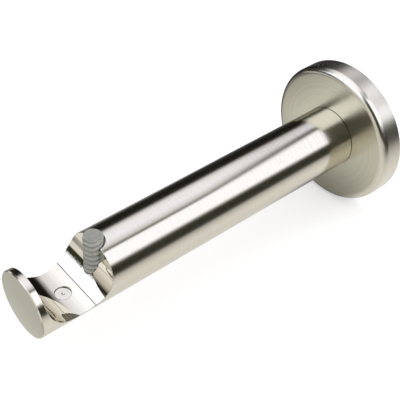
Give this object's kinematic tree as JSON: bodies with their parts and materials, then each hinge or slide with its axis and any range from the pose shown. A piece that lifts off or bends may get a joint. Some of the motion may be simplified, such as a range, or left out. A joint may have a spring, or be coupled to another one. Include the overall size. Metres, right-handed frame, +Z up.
{
  "type": "curtain pole bracket",
  "caption": "Wall bracket for a curtain pole: a solid round arm with a U-shaped pole slot and a nylon clamp screw, on a round rose that covers its wall plate.",
  "frame": {"origin": "centre of the rose's back, on the wall plane and on the arm's axis", "axes": "+Z is up, the way the pole slot opens; +Y points into the wall and the arm reaches out along -Y; the pole lies along X"},
  "size_m": [0.065, 0.1725, 0.065],
  "materials": {
    "satin_nickel": "satin nickel plate, finely brushed round the bar, with bright soft reflections",
    "nylon": "natural nylon, milky and slightly see-through, with a fine cut thread",
    "zinc_plated_steel": "bright zinc plate"
  },
  "bodies": {
    "bracket": {"arm": "satin_nickel", "rose": "satin_nickel", "wall_plate": "zinc_plated_steel", "arm_fixing_screw": "zinc_plated_steel", "rose_grub_screw": "zinc_plated_steel"},
    "clamp": {"clamp_screw": "nylon"}
  },
  "joints": [
    {"name": "clamp_screw_travel", "type": "slide", "parent": "bracket", "child": "clamp", "axis": [0, 0, 1], "range_m": [-0.004, 0.0125]}
  ]
}
